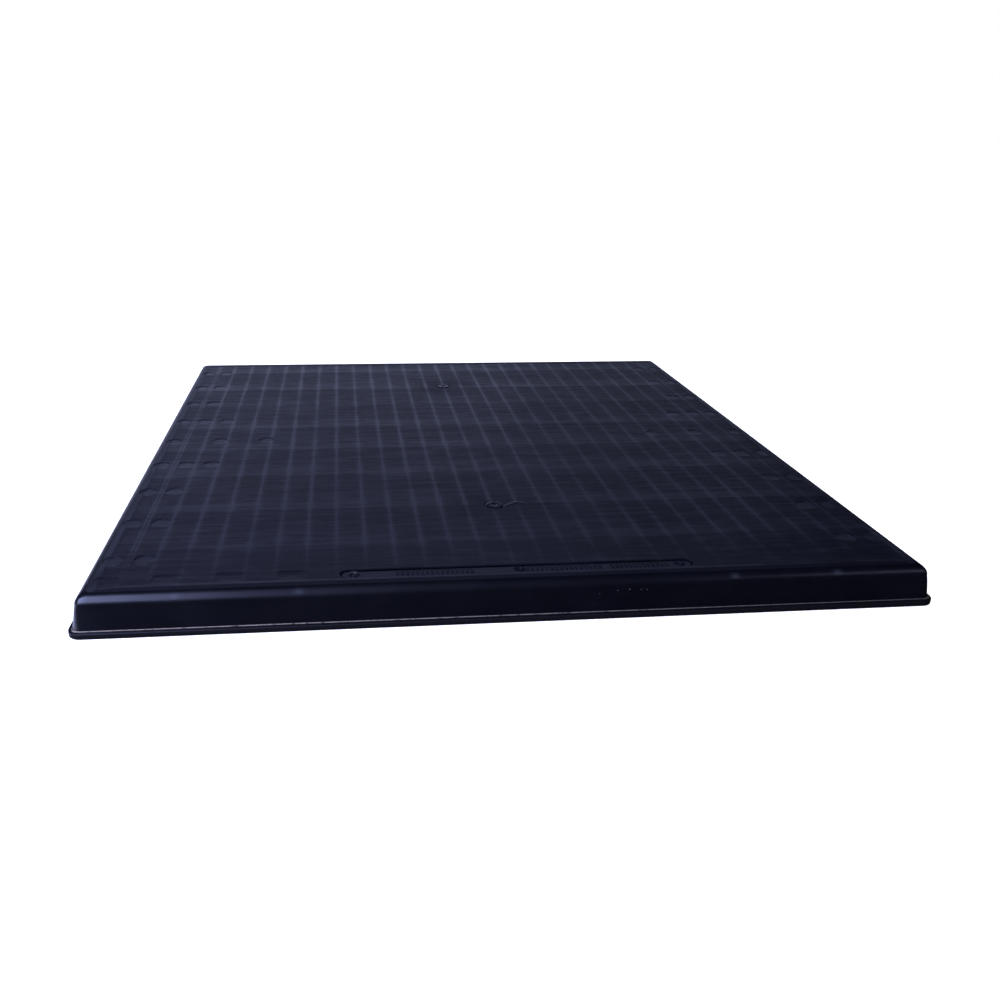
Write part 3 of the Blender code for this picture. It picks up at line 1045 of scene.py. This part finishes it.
def make_camera():
    data = bpy.data.cameras.new("camera")
    data.lens = CAMERA_LENS
    data.sensor_width = 36
    data.shift_x = CAMERA_SHIFT
    camera = bpy.data.objects.new("camera", data)
    turn = Matrix.Rotation(-math.radians(CAMERA_YAW), 4, "Z")
    turn @= Matrix.Rotation(math.radians(90 - CAMERA_PITCH), 4, "X")
    turn @= Matrix.Rotation(math.radians(CAMERA_ROLL), 4, "Z")
    camera.matrix_world = Matrix.Translation(CAMERA_PLACE) @ turn
    bpy.context.scene.collection.objects.link(camera)
    bpy.context.scene.camera = camera


def make_floor():
    mesh = bmesh.new()
    bmesh.ops.create_grid(mesh, x_segments=8, y_segments=8, size=40)
    data = mesh_data("floor", mesh, floor_finish())
    floor = bpy.data.objects.new("floor", data)
    floor.location.z = -0.0003
    floor.visible_glossy = False
    bpy.context.scene.collection.objects.link(floor)


COOL = (0.59, 0.65, 1.0)
FRONT_COOL = (0.47, 0.53, 1.0)

# Name, place, target, width, height, power, colour
SOFTBOXES = (
    ("back_left", (-1.7, 4.0, 0.80), (-1.7, 0, 0.3), 1.8, 1.5, 6.6, COOL),
    ("back_middle", (0.05, 4.0, 0.72), (0.05, 0, 0.3), 1.7, 1.3, 5.2, COOL),
    ("back_right", (1.9, 4.0, 0.62), (1.9, 0, 0.3), 2.0, 1.1, 3.8, COOL),
    ("front_left", (-1.74, -1.60, 1.62), (-1.74, -0.45, 0.04), 1.3, 2.7, 220, FRONT_COOL),
    ("front_right", (2.15, -2.05, 1.40), (0.35, -0.45, 0.04), 0.8, 0.8, 5, COOL),
)


def add_card(name, low, high, strength):
    """A reflector on the floor between two corners, seen only in glossy reflections."""
    mesh = bmesh.new()
    bmesh.ops.create_grid(mesh, x_segments=2, y_segments=2, size=0.5)
    finish = Finish(name, 0.8, 0.2)
    finish.colour(finish.blend(finish.noise(0.8, 2.0), (0.60, 0.60, 0.65), (0.70, 0.70, 0.75)))
    finish.glow(COOL, strength)
    card = bpy.data.objects.new(name, mesh_data(name, mesh, finish.material))
    card.location = ((low[0] + high[0]) / 2, (low[1] + high[1]) / 2, -0.0002)
    card.scale = (high[0] - low[0], high[1] - low[1], 1)
    card.visible_camera = False
    card.visible_diffuse = False
    card.visible_shadow = False
    bpy.context.scene.collection.objects.link(card)


def add_softbox(name, place, target, width, height, power, colour):
    data = bpy.data.lights.new(name, "AREA")
    data.shape = "RECTANGLE"
    data.size = width
    data.size_y = height
    data.energy = power
    data.color = colour
    light = bpy.data.objects.new(name, data)
    light.location = place
    light.rotation_euler = (Vector(target) - Vector(place)).to_track_quat("-Z", "Y").to_euler()
    bpy.context.scene.collection.objects.link(light)


def make_light():
    world = bpy.data.worlds.new("studio")
    world.use_nodes = True
    world.node_tree.nodes["Background"].inputs["Color"].default_value = (1, 1, 1, 1)
    world.node_tree.nodes["Background"].inputs["Strength"].default_value = 1.0
    world.cycles_visibility.glossy = False
    bpy.context.scene.world = world
    for softbox in SOFTBOXES:
        add_softbox(*softbox)
    bpy.context.scene.view_settings.view_transform = "Standard"


def main():
    deck_plastic = deck_finish()
    skirt_plastic = skirt_finish()
    rib_plastic = rib_finish()
    make_deck(deck_plastic)
    make_skirt(skirt_plastic)
    make_flange(skirt_plastic)
    bead_plastic = bead_finish()
    make_bead(bead_plastic)
    make_specks(bead_plastic)
    make_strip_bars(deck_plastic)
    gate_plastic = gate_finish()
    make_stud("left", gate_plastic, 0)
    make_stud("centre", deck_plastic, STUD_HOLE_DEPTH)
    make_stud("right", deck_plastic, STUD_HOLE_DEPTH)
    make_gate_stub("gate_button_front", "gate_stub_front", gate_plastic, 0.7)
    make_gate_stub("gate_button_rear", "gate_stub_rear", gate_plastic, 4.2)
    make_smear(gate_plastic)
    shown_nodes = (
        ("rib_grid_front", rib_plastic),
        ("rib_grid_rear", rib_plastic),
        ("name_strip", strip_finish()),
    )
    for node, material in shown_nodes:
        frame["nodes"][node].data.materials.clear()
        frame["nodes"][node].data.materials.append(material)
    make_camera()
    make_floor()
    add_card("floor_card", (-5, -0.42), (5, 6), 0.25)
    add_card("corner_card", (-1.2, -0.478), (-0.46, -0.42), 1.1)
    make_light()


main()
